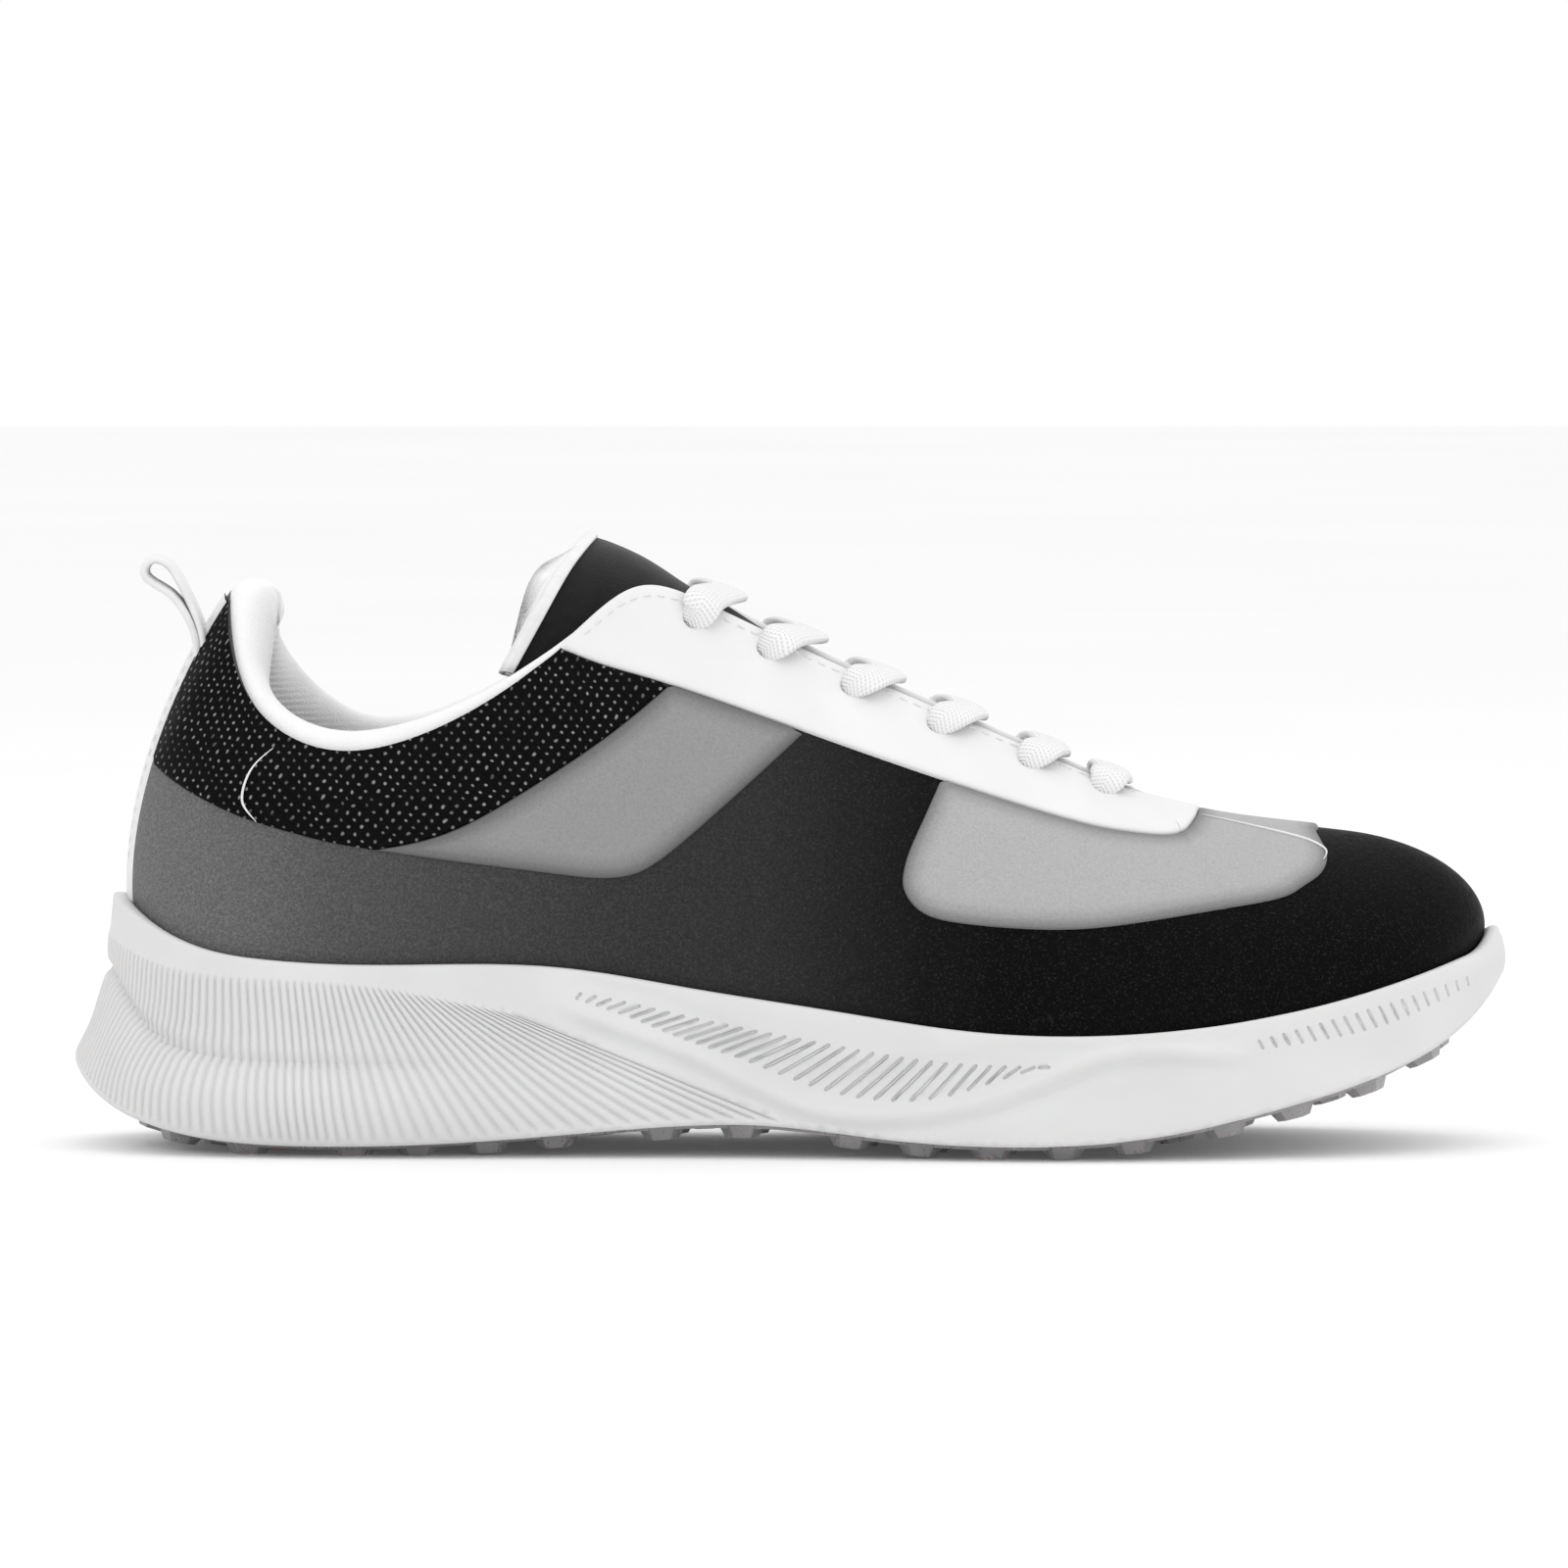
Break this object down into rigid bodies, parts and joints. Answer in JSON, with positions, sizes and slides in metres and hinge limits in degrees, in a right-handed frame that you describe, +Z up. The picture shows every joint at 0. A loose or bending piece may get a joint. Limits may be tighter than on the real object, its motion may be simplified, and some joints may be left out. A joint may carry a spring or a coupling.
{
  "type": "golf_shoe",
  "caption": "Spikeless golf shoe, right foot: black upper with grey panels, dotted padded collar, white eyestay and laces, flared white sole with translucent lugs",
  "frame": {"origin": "middle of the shoe's bounding box in plan, on the ground plane under the lugs", "axes": "+X to the toe, +Y to the inner (medial) side, +Z up"},
  "size_m": [0.2985, 0.1027, 0.128],
  "materials": {
    "upper_black": "grained",
    "white_leather": "smooth",
    "grey_leather": "grained",
    "dotted_textile": "matte",
    "white_webbing": "woven",
    "white_textile": "matte",
    "foam": "matte",
    "stiffener": "matte",
    "tongue_black": "grained",
    "white_lace": "woven",
    "insole_textile": "matte",
    "board": "matte",
    "midsole_foam": "satin",
    "outsole_rubber": "satin"
  },
  "bodies": {
    "root": {"upper_lateral": "upper_black", "upper_medial": "upper_black", "eyestay": "white_leather", "eyelet_backing_lateral": "white_textile", "eyelet_backing_medial": "white_textile", "midfoot_panel_lateral": "grey_leather", "midfoot_panel_medial": "grey_leather", "vamp_panel": "grey_leather", "collar_panel_lateral": "dotted_textile", "collar_panel_medial": "dotted_textile", "heel_strip": "white_webbing", "collar_foam": "foam", "collar_lining": "white_textile", "heel_counter": "stiffener", "toe_puff": "stiffener", "vamp_lining_lateral": "white_textile", "vamp_lining_medial": "white_textile", "tongue_face": "tongue_black", "tongue_foam": "foam", "tongue_lining": "white_textile", "lace": "white_lace", "insole": "insole_textile", "insole_board": "board", "midsole": "midsole_foam", "outsole": "outsole_rubber"},
    "tongue_tip": {"tongue_tip_face": "tongue_black", "tongue_tip_foam": "foam", "tongue_tip_lining": "white_textile", "tongue_binding": "white_webbing"},
    "pull_tab": {"pull_tab": "white_webbing"}
  },
  "joints": [
    {"name": "tongue_flex", "type": "hinge", "parent": "root", "child": "tongue_tip", "pos_m": [-0.0203, 0, 0.1168], "axis": [0, 1, 0], "range_deg": [0, 30], "stiffness_Nm_per_rad": 0.02},
    {"name": "pull_tab_flex", "type": "hinge", "parent": "root", "child": "pull_tab", "pos_m": [-0.1234, 0, 0.1087], "axis": [0, 1, 0], "range_deg": [-25, 30], "stiffness_Nm_per_rad": 0.002}
  ]
}
